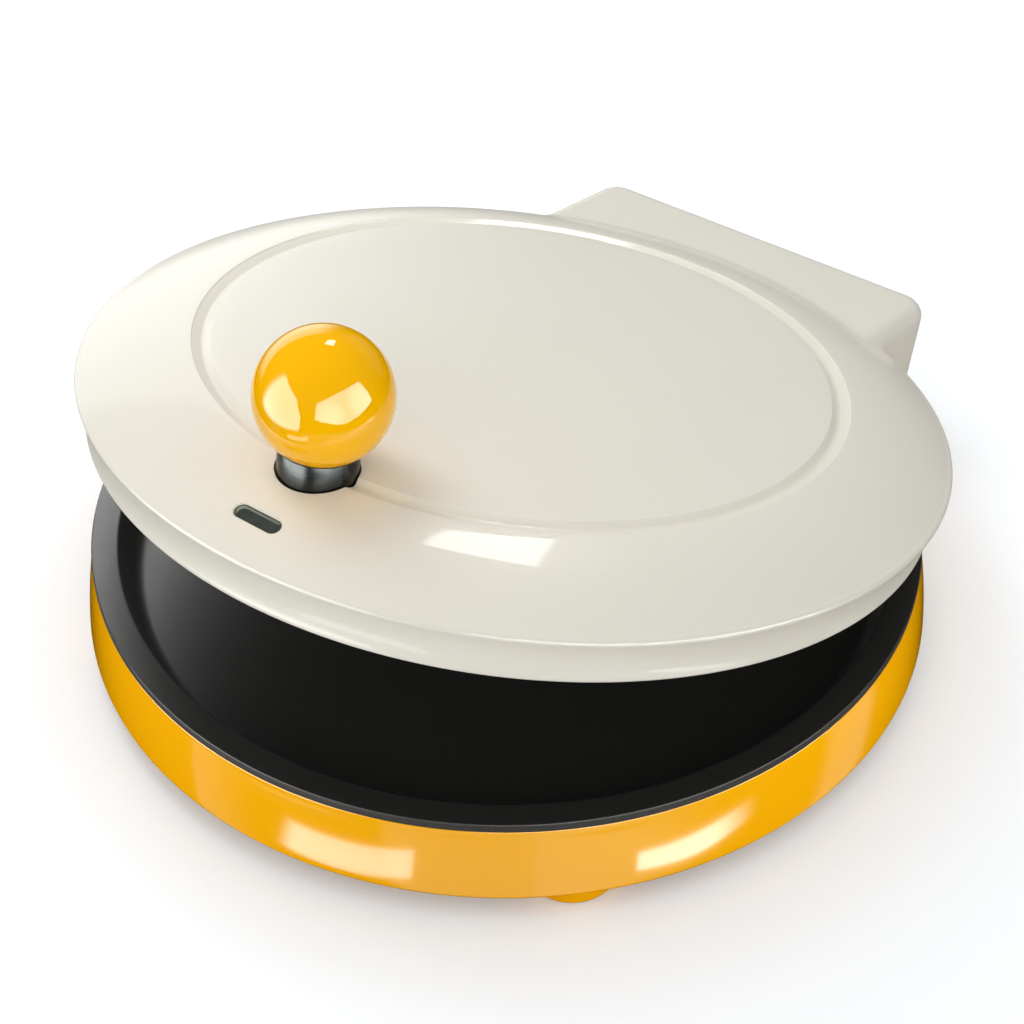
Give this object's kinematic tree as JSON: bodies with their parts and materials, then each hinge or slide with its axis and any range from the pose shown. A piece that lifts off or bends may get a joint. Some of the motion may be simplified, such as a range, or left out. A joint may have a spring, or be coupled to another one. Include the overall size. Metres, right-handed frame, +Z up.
{
  "type": "electric pizza maker",
  "caption": "Round countertop pizza maker: yellow base with black non-stick pan, cream domed lid on a rear hinge, ball knob on a dark collar, indicator window and hinge housing.",
  "frame": {"origin": "on the floor under the middle of the pan", "axes": "+Z up, the knob and the lid's front edge towards -Y, the hinge towards +Y, +X to the right seen from the front"},
  "size_m": [0.34, 0.3695, 0.1897],
  "materials": {
    "yellow_plastic": "gloss moulded yellow",
    "yellow_ball": "polished yellow",
    "cream_plastic": "satin moulded cream",
    "black_plastic": "fine textured black",
    "nonstick": "black non-stick coating on cast aluminium",
    "gunmetal": "dark turned metal",
    "steel": "zinc plated steel",
    "element_steel": "heat stained stainless tube",
    "reflector_sheet": "bright sheet",
    "rubber": "soft rubber",
    "brass": "turned brass",
    "ceramic": "unglazed ceramic",
    "brown_plastic": "moulded phenolic",
    "smoke_lens": "clear smoke grey",
    "lamp_glass": "neon lamp glass",
    "white_plastic": "natural nylon",
    "mineral_wool": "pressed mineral fibre"
  },
  "bodies": {
    "base": {"base_shell": "yellow_plastic", "bottom_cover": "black_plastic", "foot_front_left": "yellow_plastic", "foot_front_right": "yellow_plastic", "foot_rear_left": "yellow_plastic", "foot_rear_right": "yellow_plastic", "foot_pads": "rubber", "lower_pan": "nonstick", "lower_element": "element_steel", "lower_element_clips": "steel", "lower_reflector": "reflector_sheet", "thermostat": "brown_plastic", "thermostat_clip": "steel", "thermal_fuse": "ceramic", "terminal_block": "ceramic", "cord_gland": "black_plastic", "pan_screws": "steel", "cover_screws": "steel", "foot_screws": "steel", "clip_screws": "steel"},
    "lid": {"lid_shell": "cream_plastic", "lid_inner_ring": "black_plastic", "upper_plate": "nonstick", "upper_element": "element_steel", "upper_element_clips": "steel", "upper_reflector": "reflector_sheet", "insulation_pad": "mineral_wool", "upper_fuse": "ceramic", "upper_clip_screws": "steel", "plate_screws": "steel", "knob_ball": "yellow_ball", "knob_insert": "brass", "knob_collar": "gunmetal", "knob_screw": "steel", "knob_washer": "steel", "indicator_lens": "smoke_lens", "indicator_lamp": "lamp_glass", "lamp_holder": "white_plastic", "left_hinge_bracket": "steel", "right_hinge_bracket": "steel", "bracket_screws": "steel", "left_hinge_pin": "steel", "right_hinge_pin": "steel", "hinge_washers": "white_plastic", "pin_clips": "steel"}
  },
  "joints": [
    {"name": "lid_hinge", "type": "hinge", "parent": "base", "child": "lid", "pos_m": [0, 0.1758, 0.0405], "axis": [-1, 0, 0], "range_deg": [-11.9, 83.1]}
  ]
}
